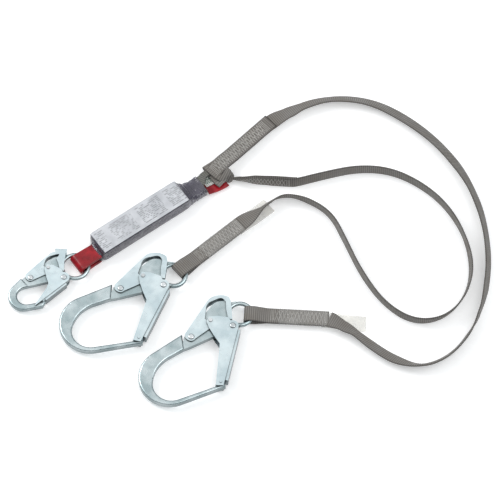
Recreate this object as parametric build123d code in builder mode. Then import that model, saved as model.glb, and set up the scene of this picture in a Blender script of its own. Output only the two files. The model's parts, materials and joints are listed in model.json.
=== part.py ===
"""Twin-leg shock absorbing lanyard, lying on a flat surface. Millimetres, +Z up, origin on that surface."""

import os
from dataclasses import dataclass
from math import cos, radians, sin, sqrt, tan

from build123d import *

# ---------------------------------------------------------------- driving dimensions

WEB_WIDTH = 25.0  # one inch webbing
WEB_THICK = 2.2
GAP = 0.3  # between soft pieces and the steel that slides in them
FIT = 0.05  # radial running clearance round a rivet

# The lanyard is laid out on a ground plane whose own zero is here, seen from the origin.
GROUND_X = 96.33
GROUND_Y = 24.24


def ground(x, y):
    """A point of the layout, moved into the frame of the whole lanyard."""
    return (x + GROUND_X, y + GROUND_Y)


def polar(angle, length=1.0):
    """The vector of a length at an angle in degrees."""
    return (length * cos(radians(angle)), length * sin(radians(angle)))


def shifted(point, vector, factor=1.0):
    """A point moved along a vector."""
    return (point[0] + factor * vector[0], point[1] + factor * vector[1])


# ---------------------------------------------------------------- hooks


@dataclass
class Hook:
    """One double-locking hook, seen from above with its gate rivet at the origin."""

    name: str
    place: tuple  # the gate rivet on the ground
    turn: float  # degrees about the vertical
    core: float  # half thicknesses of the layers, from the middle plane outwards
    bar: float
    lever_in: float
    lever_out: float
    gate_in: float
    gate_out: float
    head: float
    round_over: float  # rounding of the forged bar
    eye: tuple  # centre of the eye ring
    eye_inner: float
    eye_wire: float  # radius of the ring's wire
    bend: tuple  # the hook's inner bend, where the load hangs
    bend_radius: float
    crown_radius: float  # the wider inner bend from there up to the spine
    back: tuple  # the hook's outer bend
    back_radius: float
    spine_slopes: tuple  # inner and outer edge of the spine, degrees
    arm_slopes: tuple  # inner and outer edge of the arm, degrees
    bar_end: tuple  # where the bar thins to the core: inner x, outer x
    nose: tuple  # where the arm ends: inner x, outer x
    tooth: list  # the nose's tooth between the gate's side plates
    core_outline: list  # from the bar's inner end round by the rivet and the eye to the dome
    dome: list  # three points of the dome's arc
    core_back: list
    lever_pivot: tuple
    lever_foot: float  # how far the side plate reaches below the pivot
    lever_front: list  # from the pivot's underside to the lock notch
    lever_leg: list  # the rear leg, from the hump's end down and back up into the window
    window: list
    hump: list  # three points of the hump's arc
    thumb_pad: list  # the pad at the hump's end, where there is one
    lever_back: tuple  # where the straight back edge starts, over the pivot
    stud: tuple  # the lock stud
    stud_radius: float
    rivet_radius: float
    gate_outline: list  # inner edge and head, from the tip to above the rivet
    gate_angle: float  # direction from the rivet to the tip
    gate_edge: float  # how far the side plate's outer edge is from the rivet
    gate_flange: float  # width of the outer flange
    gate_length: float
    flange_ends: tuple
    tip_pin: tuple  # the heads at the gate's tip: from the end, off the middle line, radius


REBAR_SHAPE = dict(
    core=4.5,
    bar=6.0,
    lever_in=5.0,
    lever_out=7.0,
    gate_in=7.7,
    gate_out=9.7,
    head=11.7,
    round_over=2.6,
    eye=(15.5, 21.0),
    eye_inner=15.0,
    eye_wire=3.5,
    bend=(-111.8, -76.0),
    bend_radius=28.6,
    crown_radius=53.0,
    back=(-112.0, -64.0),
    back_radius=48.0,
    spine_slopes=(20.0, 24.0),
    arm_slopes=(9.3, 10.6),
    bar_end=(-81.0, -79.0),
    nose=(-31.5, -31.5),
    tooth=[(-48.0, -96.0), (-43.0, -85.0), (-38.0, -86.0), (-34.0, -95.0)],
    core_outline=[(-72.4, -20.4), (-30.0, -9.2), (-6.0, -8.0), (5.0, -6.5), (10.0, 0.5), (16.0, 3.0),
                  (14.0, 42.0), (1.0, 42.5)],
    dome=[(1.0, 42.5), (-10.5, 47.3), (-22.5, 44.0)],
    core_back=[(-70.6, 0.9), (-77.0, -2.0)],
    lever_pivot=(-66.0, -4.5),
    lever_foot=7.0,
    lever_front=[(-61.0, -9.2), (-38.0, 2.2), (-29.0, 5.0), (-22.0, 9.0), (-23.0, 15.6)],
    lever_leg=[(6.0, 43.0), (4.5, 30.0), (2.0, 12.5), (-4.5, 12.5), (-4.0, 30.0), (-2.0, 43.0)],
    window=[(-39.5, 21.0), (-34.5, 36.5)],
    hump=[(4.5, 50.6), (-12.2, 56.7), (-26.6, 53.2)],
    thumb_pad=[],
    lever_back=(-74.3, 2.2),
    stud=(-31.5, 16.0),
    stud_radius=3.0,
    rivet_radius=3.2,
    gate_outline=[(-46.4, -94.6), (-25.8, -26.0), (-31.0, -13.0), (-36.5, 4.0), (-38.0, 15.0), (-33.0, 22.4),
                  (-20.0, 21.2), (-4.0, 15.2)],
    gate_angle=-114.1,
    gate_edge=9.0,
    gate_flange=3.9,
    gate_length=103.0,
    flange_ends=(4.3, 93.0),
    tip_pin=(5.0, 2.5, 1.9),
)

SNAP_SHAPE = dict(
    core=4.0,
    bar=5.0,
    lever_in=4.5,
    lever_out=6.0,
    gate_in=6.6,
    gate_out=8.2,
    head=9.8,
    round_over=2.6,
    eye=(17.0, 22.0),
    eye_inner=17.0,
    eye_wire=3.25,
    bend=(-57.5, -30.0),
    bend_radius=14.5,
    crown_radius=14.5,
    back=(-61.6, -30.2),
    back_radius=24.0,
    spine_slopes=(15.7, 47.0),
    arm_slopes=(10.0, 12.0),
    bar_end=(-54.0, -66.0),
    nose=(-27.0, -32.0),
    tooth=[(-41.0, -45.0), (-38.5, -38.0), (-33.0, -37.0), (-29.0, -43.0)],
    core_outline=[(-27.4, -6.6), (-5.0, -6.0), (5.0, -5.0), (10.0, 1.0), (17.0, 3.0), (13.0, 41.0),
                  (1.0, 36.5)],
    dome=[(1.0, 36.5), (-9.0, 37.6), (-19.0, 33.6)],
    core_back=[(-55.7, 5.3), (-64.0, -1.5)],
    lever_pivot=(-51.3, 0.2),
    lever_foot=5.6,
    lever_front=[(-47.0, -3.4), (-29.7, 5.2), (-22.0, 7.0), (-16.0, 10.2), (-16.6, 16.0)],
    lever_leg=[(2.0, 38.0), (0.5, 28.0), (0.0, 12.0), (-6.5, 12.0), (-8.5, 24.0), (-12.0, 33.5)],
    window=[(-31.5, 20.5), (-30.0, 26.5)],
    hump=[(2.5, 43.6), (-11.4, 45.6), (-21.6, 42.3)],
    thumb_pad=[(-13.0, 44.0), (-14.0, 50.5), (5.0, 49.5), (4.0, 45.5), (2.0, 40.5)],
    lever_back=(-58.6, 5.8),
    stud=(-24.2, 16.6),
    stud_radius=2.4,
    rivet_radius=2.7,
    gate_outline=[(-43.0, -45.6), (-26.0, -17.5), (-23.8, -10.0), (-27.0, 0.0), (-30.0, 14.0), (-26.5, 22.0),
                  (-17.0, 21.0), (-3.5, 13.8)],
    gate_angle=-138.7,
    gate_edge=8.6,
    gate_flange=3.0,
    gate_length=66.0,
    flange_ends=(4.0, 46.0),
    tip_pin=(),
)

HOOKS = [
    Hook(name="leg_b", place=(-132.9, -70.7), turn=0.0, **REBAR_SHAPE),
    Hook(name="leg_a", place=(-26.4, -140.6), turn=11.8, **REBAR_SHAPE),
    Hook(name="snap", place=(-286.0, -55.8), turn=0.0, **SNAP_SHAPE),
]

BEND_START = 168.0  # where the inner bend meets the wider crown arc, degrees
LEVER_TRAVEL = 6.0  # degrees that the lock lever turns while the gate opens
STUD_GAP = 0.4
RECESS = 2.0  # depth of the pocket for the lever's spring, on each face of the core
LEVER_WEB = 2.0  # thickness of the lever's thumb web
SPRING_ROOM = 2.6  # how much wider than the rivet the pocket is, in radius
LEVER_HEAD = 1.9  # height of the lever rivet's head
HEAD_RIM = 1.4  # how far a rivet's head reaches past its shank


def hook_plane(hook):
    """The hook's middle plane, with the gate rivet as its origin."""
    x, y = ground(*hook.place)
    return Plane(origin=(x, y, hook.head), x_dir=(*polar(hook.turn), 0), z_dir=(0, 0, 1))


def layer(base, low, high):
    """The planes and the height of a layer on both sides of the hook's middle plane."""
    return [base.offset(low), base.offset(-high)], high - low


def on_slope(start, slope, x):
    """The point at x on the line that leaves a start at a slope in degrees."""
    return (x, start[1] + (x - start[0]) * tan(radians(slope)))


def make_bar(hook, base):
    """The forged C of the hook with its spine and arm, rounded all along."""
    inner_slope, outer_slope = hook.spine_slopes
    inner_rise, outer_rise = hook.arm_slopes
    bend_end = shifted(hook.bend, polar(BEND_START, hook.bend_radius))
    crown = shifted(bend_end, polar(BEND_START, -hook.crown_radius))
    inner_top = shifted(crown, polar(90 + inner_slope, hook.crown_radius))
    inner_low = shifted(hook.bend, polar(270 + inner_rise, hook.bend_radius))
    outer_top = shifted(hook.back, polar(90 + outer_slope, hook.back_radius))
    outer_low = shifted(hook.back, polar(270 + outer_rise, hook.back_radius))
    inner_end = on_slope(inner_top, inner_slope, hook.bar_end[0])
    outer_end = on_slope(outer_top, outer_slope, hook.bar_end[1])
    nose_in = on_slope(inner_low, inner_rise, hook.nose[0])
    nose_out = on_slope(outer_low, outer_rise, hook.nose[1])
    with BuildPart() as bar:
        with BuildSketch(base.offset(-hook.bar)):
            with BuildLine():
                Line(inner_end, inner_top)
                ThreePointArc(inner_top, shifted(crown, polar(140, hook.crown_radius)), bend_end)
                ThreePointArc(bend_end, shifted(hook.bend, polar(225, hook.bend_radius)), inner_low)
                Line(inner_low, nose_in)
                Line(nose_in, nose_out)
                Line(nose_out, outer_low)
                ThreePointArc(outer_low, shifted(hook.back, polar(190, hook.back_radius)), outer_top)
                Line(outer_top, outer_end)
                Line(outer_end, inner_end)
            make_face()
        extrude(amount=2 * hook.bar)
        rims = bar.faces().filter_by(Axis.Z).edges()
        fillet(rims, radius=hook.round_over)
    return bar.part, inner_end


def make_hook_body(hook, base):
    """Bar, thin core with its dome, and the round eye, as one forging."""
    bar, bar_foot = make_bar(hook, base)
    with BuildPart() as body:
        with BuildSketch(base.offset(-hook.core)):
            with BuildLine():
                Polyline(hook.core_back[-1], shifted(bar_foot, (-4, -0.5)), *hook.core_outline)
                ThreePointArc(*hook.dome)
                Polyline(hook.dome[-1], *hook.core_back)
            make_face()
        extrude(amount=2 * hook.core)
        with BuildSketch(base.offset(-hook.core)):
            with Locations(hook.eye):
                Circle(hook.eye_inner + hook.eye_wire)
        extrude(amount=2 * hook.core, mode=Mode.SUBTRACT)
        with BuildSketch(base.offset(-hook.core)):
            with BuildLine():
                Polyline(hook.tooth, close=True)
            make_face()
            fillet(vertices(), radius=1.5)
        extrude(amount=2 * hook.core)
        planes, depth = layer(base, hook.core - RECESS, hook.core)
        for plane in planes:
            with BuildSketch(plane):
                with Locations(hook.lever_pivot):
                    Circle(hook.rivet_radius + SPRING_ROOM)
            extrude(amount=depth, mode=Mode.SUBTRACT)
        with BuildSketch(base.offset(-hook.core)):
            with Locations((0, 0), hook.lever_pivot):
                Circle(hook.rivet_radius)
        extrude(amount=2 * hook.core, mode=Mode.SUBTRACT)
        add(bar)
        with Locations(base.location * Pos(*hook.eye)):
            Torus(hook.eye_inner + hook.eye_wire, hook.eye_wire)
    return body.part


def make_lever(hook, base):
    """The lock lever: two side plates and the thumb web that joins them along the back."""
    stud_x, stud_y = hook.stud
    notch = hook.stud_radius + STUD_GAP
    notch_points = [(stud_x + notch, stud_y + 0.5), (stud_x, stud_y - notch), (stud_x - notch, stud_y)]
    under = shifted(hook.lever_pivot, polar(255, hook.lever_foot))
    behind = shifted(hook.lever_pivot, polar(195, hook.lever_foot + 1.2))
    with BuildPart() as lever:
        with BuildSketch(base.offset(-hook.lever_out)):
            with BuildLine():
                Line(hook.hump[2], hook.lever_back)
                Spline(hook.lever_back, behind, under, hook.lever_front[0])
                Polyline(*hook.lever_front, notch_points[0])
                ThreePointArc(*notch_points)
                Polyline(notch_points[2], *hook.window)
                Spline(hook.window[-1], *window_top(hook), hook.lever_leg[-1])
                Polyline(*reversed(hook.lever_leg), hook.hump[0])
                ThreePointArc(*hook.hump)
            make_face()
        extrude(amount=2 * hook.lever_out)
        with BuildSketch(base.offset(-hook.lever_in)):
            with BuildLine():
                Polyline(*web_inside(hook), close=True)
            make_face()
        extrude(amount=2 * hook.lever_in, mode=Mode.SUBTRACT)
        if hook.thumb_pad:
            with BuildSketch(base.offset(-hook.lever_out)):
                with BuildLine():
                    Polyline(hook.thumb_pad, close=True)
                make_face()
            extrude(amount=2 * hook.lever_out)
            with BuildSketch(base.offset(-hook.lever_in)):
                with Locations(eye_when_squeezed(hook)):
                    Circle(hook.eye_inner + 2 * hook.eye_wire + GAP)
            extrude(amount=2 * hook.lever_in, mode=Mode.SUBTRACT)
        with BuildSketch(base.offset(-hook.lever_out)):
            with Locations(hook.lever_pivot):
                Circle(hook.rivet_radius + FIT)
        extrude(amount=2 * hook.lever_out, mode=Mode.SUBTRACT)
    return lever.part


def eye_when_squeezed(hook):
    """Where the eye is from the lever's point of view, when the lever is squeezed home."""
    x, y = shifted(hook.eye, hook.lever_pivot, -1)
    turn = radians(LEVER_TRAVEL)
    return shifted(hook.lever_pivot, (x * cos(turn) - y * sin(turn), x * sin(turn) + y * cos(turn)))


def window_top(hook):
    """Points of the window's round top, inside the hump."""
    rim = (hook.lever_out - hook.lever_in) + 3.4
    left, top = hook.hump[2], hook.hump[1]
    to_top = shifted(top, left, -1)
    points = [shifted(shifted(left, to_top, share), (0, -rim)) for share in (0.12, 0.5)]
    return points + [(top[0] + 3.0, top[1] - rim)]


def web_inside(hook):
    """The outline that is cleared between the side plates, inside the thumb web."""
    along = (hook.hump[2][0] - hook.lever_back[0], hook.hump[2][1] - hook.lever_back[1])
    length = sqrt(along[0] ** 2 + along[1] ** 2)
    inward = (along[1] / length, -along[0] / length)
    start = shifted(hook.lever_back, inward, LEVER_WEB)
    corner = shifted(hook.hump[2], inward, LEVER_WEB)
    crown = shifted(hook.hump[1], (0, -LEVER_WEB))
    web_end = (hook.lever_leg[-1][0] + 1.0, hook.hump[1][1] - LEVER_WEB - 0.2)
    outside = shifted(start, inward, -3 * LEVER_WEB)
    low = hook.lever_pivot[1] - 20
    far = hook.hump[0][0] + 20
    return [start, corner, crown, web_end, (web_end[0], web_end[1] + 20), (far, web_end[1] + 20), (far, low),
            (outside[0] - 20, low), outside]


def gate_point(hook, along, outward):
    """A point of the gate, measured from its rivet towards the tip and towards the outer edge."""
    return shifted(polar(hook.gate_angle, along), polar(hook.gate_angle + 90, outward))


def make_gate(hook, base):
    """The gate: two side plates and the outer flange that joins them below the rivet."""
    edge = hook.gate_edge
    flange_start, flange_stop = hook.flange_ends
    with BuildPart() as gate:
        planes, depth = layer(base, hook.gate_in, hook.gate_out)
        for plane in planes:
            with BuildSketch(plane):
                with BuildLine():
                    tip = gate_point(hook, hook.gate_length, edge - 1.0)
                    Polyline(tip, *hook.gate_outline, polar(100, edge))
                    ThreePointArc(polar(100, edge), polar(30, edge), gate_point(hook, 0, edge))
                    Line(gate_point(hook, 0, edge), tip)
                make_face()
                fillet(vertices().sort_by(Axis.Y)[2:-1], radius=2.0)
            extrude(amount=depth)
        with BuildSketch(base.offset(-hook.gate_in - 0.4)):
            with BuildLine():
                Polyline(
                    gate_point(hook, flange_start, edge - 1.4),
                    gate_point(hook, flange_start, edge + hook.gate_flange),
                    gate_point(hook, flange_stop, edge + hook.gate_flange),
                    gate_point(hook, flange_stop, edge - 1.4),
                    close=True,
                )
            make_face()
        extrude(amount=2 * hook.gate_in + 0.8)
        if hook.tip_pin:
            back, aside, radius = hook.tip_pin
            planes, depth = layer(base, hook.gate_out, hook.gate_out + 1.0)
            for plane in planes:
                with BuildSketch(plane):
                    with Locations(gate_point(hook, hook.gate_length - back, aside)):
                        Circle(radius)
                extrude(amount=depth)
        with BuildSketch(base.offset(-hook.gate_out)):
            Circle(hook.rivet_radius + FIT)
        extrude(amount=2 * hook.gate_out, mode=Mode.SUBTRACT)
    return gate.part


def make_rivet(hook, base, centre, shoulder, top):
    """A rivet through the hook, with a domed head outside the plates on both sides."""
    head_radius = hook.rivet_radius + HEAD_RIM
    with BuildPart() as rivet:
        with BuildSketch(base.offset(-shoulder)):
            with Locations(centre):
                Circle(hook.rivet_radius)
        extrude(amount=2 * shoulder)
        planes, depth = layer(base, shoulder, top)
        for plane in planes:
            with BuildSketch(plane):
                with Locations(centre):
                    Circle(head_radius)
            extrude(amount=depth)
        ends = rivet.faces().sort_by(Axis.Z)
        fillet(ends[-1].edges() + ends[0].edges(), depth * 0.8)
    return rivet.part


def make_studs(hook, base):
    """The two lock studs, one on each side plate of the gate, that stand in the lever's notches."""
    with BuildPart() as studs:
        planes, depth = layer(base, hook.lever_in - 0.3, hook.gate_in)
        for plane in planes:
            with BuildSketch(plane):
                with Locations(hook.stud):
                    Circle(hook.stud_radius)
            extrude(amount=depth)
        planes, depth = layer(base, hook.gate_out, hook.gate_out + 1.2)
        for plane in planes:
            with BuildSketch(plane):
                with Locations(hook.stud):
                    Circle(hook.stud_radius)
            extrude(amount=depth)
    return studs.part


def make_coil(base, centre, low, radius, wire, turns):
    """A pair of open spring coils round a rivet, one on each side of the core."""
    pitch = wire * 1.15
    coils = []
    for sign in (1, -1):
        spot = base.location * Pos(*centre, sign * (low + wire * 0.55)) * Rot(90 - 90 * sign, 0, 0)
        helix = Helix(pitch=pitch, height=pitch * turns, radius=radius)
        start = Plane(origin=helix @ 0, z_dir=helix % 0)
        coil = sweep(start * Circle(wire / 2), path=helix, is_frenet=True)
        coils.append(spot * coil)
    return Compound(children=coils)


# ---------------------------------------------------------------- webbing

# The free stretch of each leg, standing on edge: from its pack-end block to its hook-end block.
LEG_A_ROUTE = [
    (32.4, 217.3), (72, 244), (128, 260), (190, 253), (246, 220), (293, 178), (332, 124), (357, 62),
    (368, -8), (364, -74), (346, -136), (311, -186), (264, -208), (220, -193), (184, -167), (152, -140),
    (120.8, -125.0),
]
LEG_B_ROUTE = [
    (72.7, 110.9), (118, 124), (168, 135), (217, 131), (262, 108), (300, 74), (329, 25), (343, -35),
    (332, -86), (299, -124), (252, -131), (207, -101), (171, -47), (146, 11), (125, 56), (89, 81),
    (50, 91), (19, 68), (-13.9, 39.4),
]
LEG_MIDDLE = WEB_WIDTH / 2

BLOCK_THICK = 2 * WEB_THICK
HOOK_BLOCK_END = 136.0  # from the middle of the hook's eye
EYE_ROOM = 2.0  # past the eye's ring, before the two plies come together
LOOP_CLOSING = 18.0  # the stretch in which they do
SLEEVE_START = 60.0
SLEEVE_END = 194.0
SLEEVE_WALL = 0.7
STITCH = 0.4  # how far a row of thread stands proud
STITCH_WIDTH = 0.8
STITCH_SWING = 2.4  # how far a zigzag swings to each side of its row


def side_plane(x, y, z, angle):
    """A vertical plane along a strap: x runs along the strap, y is up."""
    return Plane(origin=(x, y, z), x_dir=(*polar(angle), 0), z_dir=(*polar(angle - 90), 0))


def eye_centre(hook):
    """The middle of a hook's eye on the ground."""
    spot = hook_plane(hook).location * Pos(*hook.eye)
    return spot.position.X, spot.position.Y, spot.position.Z


def corner_radii(points):
    """The radius of each arc of a cord, as large as its two runs allow."""
    radii = []
    for before, corner, after in zip(points, points[1:], points[2:]):
        first, second = Vector(*corner) - Vector(*before), Vector(*after) - Vector(*corner)
        half_turn = radians(first.get_angle(second)) / 2
        radii.append(0.45 * min(first.length, second.length) / tan(half_turn))
    return radii


def make_leg(label, route):
    """A free stretch of webbing on edge, as straight runs joined by tangent arcs."""
    points = [(*ground(x, y), LEG_MIDDLE) for x, y in route]
    radii = corner_radii(points)
    with BuildPart() as leg:
        with BuildLine() as path:
            FilletPolyline(*points, radius=radii)
        start = Plane(origin=path.line @ 0, x_dir=(0, 0, 1), z_dir=path.line % 0)
        with BuildSketch(start):
            Rectangle(WEB_WIDTH, WEB_THICK)
        sweep(path=path.line)
    length = path.wires()[0].length
    print(label, "length", round(length), "radii", [round(radius) for radius in radii])
    print(label, "volume share", round(leg.part.volume / (length * WEB_WIDTH * WEB_THICK), 4))
    return leg.part


def make_hook_loop(hook, angle):
    """The end of a leg: its fold through the hook's eye and the sewn block."""
    pocket = hook.core + GAP
    outside = pocket + WEB_THICK
    reach = sqrt((hook.eye_inner - GAP) ** 2 - (WEB_WIDTH / 2) ** 2) + pocket
    past = hook.eye_inner + 2 * hook.eye_wire + EYE_ROOM
    join = past + LOOP_CLOSING
    half = BLOCK_THICK / 2
    with BuildPart() as loop:
        with BuildSketch(side_plane(*eye_centre(hook), angle)):
            with BuildLine():
                Polyline((reach, outside), (past, outside), (join, half), (HOOK_BLOCK_END, half),
                         (HOOK_BLOCK_END, -half), (join, -half), (past, -outside), (reach, -outside))
                ThreePointArc((reach, -outside), (reach - outside, 0), (reach, outside))
            make_face()
            with BuildLine():
                Polyline((reach, pocket), (past, pocket), (join - 1.5, 0), (past, -pocket), (reach, -pocket))
                ThreePointArc((reach, -pocket), (reach - pocket, 0), (reach, pocket))
            make_face(mode=Mode.SUBTRACT)
        extrude(amount=WEB_WIDTH / 2, both=True)
    return loop.part


def make_clear_sleeve(hook, angle):
    """The flat clear tube over the sewn block, open at both ends."""
    height = BLOCK_THICK + 2 * STITCH + 2 * GAP
    width = WEB_WIDTH + 2 * GAP
    x, y, z = eye_centre(hook)
    along = polar(angle)
    start = Plane(origin=(x + SLEEVE_START * along[0], y + SLEEVE_START * along[1], z), x_dir=(0, 0, 1),
                  z_dir=(*along, 0))
    with BuildPart() as sleeve:
        with BuildSketch(start):
            RectangleRounded(height + 2 * SLEEVE_WALL, width + 2 * SLEEVE_WALL, 1.5)
            RectangleRounded(height, width, 0.8, mode=Mode.SUBTRACT)
        extrude(amount=SLEEVE_END - SLEEVE_START)
    return sleeve.part


def make_stitching(faces, rows=(-7.0, 0.0, 7.0), step=4.0):
    """Zigzag rows of thread standing on the faces of a sewn block, along each face's x."""
    count = int(SEAM_LENGTH / step)
    with BuildPart() as stitching:
        for face in faces:
            with BuildSketch(face):
                for row in rows:
                    with BuildLine(mode=Mode.PRIVATE) as zigzag:
                        Polyline([(step * i, row + STITCH_SWING * (-1) ** i) for i in range(count)])
                    trace(zigzag.line, line_width=STITCH_WIDTH)
            extrude(amount=STITCH)
    return stitching.part


# ---------------------------------------------------------------- shock pack

PACK = (-169.5, 43.5)
PACK_ANGLE = 35.4
PACK_LENGTH = 158.6
PACK_WIDTH = 42.0
PACK_HEIGHT = 28.0
COVER_WALL = 1.0
SNOUT = (34.0, 33.0, 20.0, 12.0)  # the cover's narrow end over the leg loop: length, width, height, middle
SNAP_SLOT = (8.0, 18.0)  # the cover's opening for the snap-end loop: depth, height
SNAP_SHIFT = -5.4  # the snap-end loop lies off the pack's middle line
SNAP_HEIGHT = 10.0
LOOP_WIDTH = 26.0
LOOP_SHIFT = -4.0  # the leg-end loop lies off the pack's middle line
LOOP_REACH = 155.0
LOOP_LOW = 1.5
LOOP_HIGH = 11.5
WRAP_FROM = 131.0
PLY = 0.05  # plies that lie on each other in one piece of webbing

pack_x, pack_y = ground(*PACK)
pack_plane = Plane(origin=(pack_x, pack_y, 0), x_dir=(*polar(PACK_ANGLE), 0), z_dir=(0, 0, 1))
pack_side = Plane(origin=(pack_x, pack_y, 0), x_dir=(*polar(PACK_ANGLE), 0),
                  z_dir=(*polar(PACK_ANGLE - 90), 0))


def make_cover():
    """The clear shrink cover: a box round the folded webbing and a snout over the leg-end loop."""
    snout_length, snout_width, snout_height, snout_middle = SNOUT
    inner = 2 * COVER_WALL
    box_middle = PACK_HEIGHT / 2
    with BuildPart() as cover:
        with BuildSketch(pack_plane):
            RectangleRounded(PACK_LENGTH, PACK_WIDTH, 3.0)
        extrude(amount=PACK_HEIGHT)
        fillet(cover.edges().group_by(Axis.Z)[-1] + cover.edges().group_by(Axis.Z)[0], radius=2.5)
        snout_place = Pos((PACK_LENGTH + snout_length) / 2 - 1, LOOP_SHIFT, snout_middle)
        with Locations(pack_plane.location * snout_place):
            Box(snout_length, snout_width, snout_height)
            Box(snout_length + 8, snout_width - inner, snout_height - inner, mode=Mode.SUBTRACT)
        with Locations(pack_plane.location * Pos(0, 0, box_middle)):
            Box(PACK_LENGTH - inner, PACK_WIDTH - inner, PACK_HEIGHT - inner, mode=Mode.SUBTRACT)
        with Locations(pack_plane.location * Pos(-PACK_LENGTH / 2, SNAP_SHIFT, SNAP_HEIGHT)):
            Box(SNAP_SLOT[0], LOOP_WIDTH + 2, SNAP_SLOT[1], mode=Mode.SUBTRACT)
    return cover.part


def make_tear_webbing():
    """The tear webbing, folded to and fro in ten plies."""
    length, height = PACK_LENGTH - 5, PACK_HEIGHT - 3.5
    plies = 10
    ply = height / plies
    with BuildPart() as tear:
        with BuildSketch(pack_side):
            with Locations((0, PACK_HEIGHT / 2)):
                Rectangle(length, height)
            for fold in range(1, plies):
                side = 1 if fold % 2 else -1
                with Locations((side * 3, PACK_HEIGHT / 2 - height / 2 + fold * ply)):
                    Rectangle(length - 4, 0.5, mode=Mode.SUBTRACT)
        extrude(amount=PACK_WIDTH / 2 - 2.5, both=True)
    return tear.part


def make_label():
    """The paper label on top of the cover."""
    with BuildPart() as label:
        with BuildSketch(pack_plane.offset(PACK_HEIGHT)):
            RectangleRounded(PACK_LENGTH - 9, PACK_WIDTH - 6, 1.0)
        extrude(amount=0.3)
    return label.part


def band_edges(inner, outer, centre, straight):
    """The outline of a fold seen from the side: a half ring and its two plies."""
    with BuildLine(mode=Mode.PRIVATE) as band:
        Polyline((centre, outer), (straight, outer), (straight, inner), (centre, inner))
        ThreePointArc((centre, inner), (centre - inner, 0), (centre, -inner))
        Polyline((centre, -inner), (straight, -inner), (straight, -outer), (centre, -outer))
        ThreePointArc((centre, -outer), (centre - outer, 0), (centre, outer))
    return band.edges()


SLEEVE_RED = 1.2  # wall of the red sleeve
SNAP_FOLD = 9.3  # middle of the fold, from the eye's middle
SNAP_STRAIGHT = 39.0  # how far its plies run apart
SNAP_END = (45.0, 48.4)  # where they have come together, and where they stop inside the cover


def make_snap_loop(hook):
    """The pack's snap-end loop, through the hook's eye and back into the cover."""
    inner = hook.core + GAP + SLEEVE_RED
    outer = inner + WEB_THICK
    with BuildPart() as loop:
        with BuildSketch(side_plane(*eye_centre(hook), PACK_ANGLE)):
            make_face(band_edges(inner, outer, SNAP_FOLD, SNAP_STRAIGHT))
            joined, stop = SNAP_END
            ply = WEB_THICK + PLY
            for side in (1, -1):
                with BuildLine():
                    Polyline(
                        (SNAP_STRAIGHT, side * inner),
                        (SNAP_STRAIGHT, side * outer),
                        (joined, side * ply),
                        (stop, side * ply),
                        (stop, 0),
                        (joined - 0.5, 0),
                        close=True,
                    )
                make_face()
        extrude(amount=LOOP_WIDTH / 2, both=True)
    return loop.part


def make_red_sleeve(hook):
    """The red sleeve that the snap-end loop runs through."""
    inner = hook.core + GAP
    strap = inner + SLEEVE_RED
    with BuildPart() as sleeve:
        with BuildSketch(side_plane(*eye_centre(hook), PACK_ANGLE)):
            make_face(band_edges(inner, inner + WEB_THICK + 2 * SLEEVE_RED, SNAP_FOLD, SNAP_STRAIGHT - 1))
        extrude(amount=LOOP_WIDTH / 2 + 2, both=True)
        with BuildSketch(side_plane(*eye_centre(hook), PACK_ANGLE)):
            make_face(band_edges(strap - PLY, strap + WEB_THICK + PLY, SNAP_FOLD, SNAP_STRAIGHT - 1))
        extrude(amount=LOOP_WIDTH / 2 + PLY, both=True, mode=Mode.SUBTRACT)
    return sleeve.part


def make_leg_end_loop():
    """The pack's leg-end loop: out of the snout, open for the leg webbing, round the bight and back."""
    snout_length, _, _, middle = SNOUT
    mouth = PACK_LENGTH / 2 + snout_length
    low, high = LOOP_LOW + WEB_THICK, LOOP_HIGH
    bight = (low + high) / 2
    with BuildPart() as loop:
        with BuildSketch(pack_side.offset(-LOOP_SHIFT)):
            with BuildLine():
                Polyline((PACK_LENGTH / 2 + 1, middle + WEB_THICK), (mouth, middle + WEB_THICK),
                         (mouth + 9, high + WEB_THICK), (LOOP_REACH, high + WEB_THICK))
                ThreePointArc((LOOP_REACH, high + WEB_THICK), (LOOP_REACH + high + WEB_THICK - bight, bight),
                              (LOOP_REACH, LOOP_LOW))
                Polyline((LOOP_REACH, LOOP_LOW), (mouth + 12, LOOP_LOW), (mouth, middle - WEB_THICK),
                         (PACK_LENGTH / 2 + 1, middle - WEB_THICK), (PACK_LENGTH / 2 + 1, middle + WEB_THICK))
            make_face()
            with BuildLine():
                Polyline((LOOP_REACH, high), (mouth + 9, high), (mouth + 4, middle - WEB_THICK / 2),
                         (mouth + 13, low), (LOOP_REACH, low))
                ThreePointArc((LOOP_REACH, low), (LOOP_REACH + high - bight, bight), (LOOP_REACH, high))
            make_face(mode=Mode.SUBTRACT)
        extrude(amount=LOOP_WIDTH / 2, both=True)
    return loop.part


def make_loop_pad(low, thickness, start, width):
    """A flat liner inside the leg-end loop, on its lower ply."""
    with BuildPart() as pad:
        with BuildSketch(pack_plane.offset(low)):
            with Locations(((start + LOOP_REACH) / 2, LOOP_SHIFT)):
                Rectangle(LOOP_REACH - start, width)
        extrude(amount=thickness)
    return pad.part


def make_junction_wrap():
    """The legs' common webbing, choked round the upper ply of the leg-end loop."""
    slot_low, slot_high = LOOP_HIGH - 0.9, LOOP_HIGH + WEB_THICK + 0.9
    left, right = LOOP_SHIFT + LOOP_WIDTH / 2 + 1, LOOP_SHIFT - LOOP_WIDTH / 2 - 1
    across = Plane(origin=pack_plane.location.position, x_dir=(*polar(PACK_ANGLE + 90), 0),
                   z_dir=(*polar(PACK_ANGLE), 0))
    middle = ((left + right) / 2, (slot_low + slot_high) / 2)
    with BuildPart() as wrap:
        with BuildSketch(across.offset(WRAP_FROM)):
            with Locations(middle):
                RectangleRounded(left - right + 2 * WEB_THICK, slot_high - slot_low + 2 * WEB_THICK, 3.0)
                RectangleRounded(left - right, slot_high - slot_low, 0.8, mode=Mode.SUBTRACT)
        extrude(amount=WEB_WIDTH)
    return wrap.part


# ---------------------------------------------------------------- sewn blocks at the pack end

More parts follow.
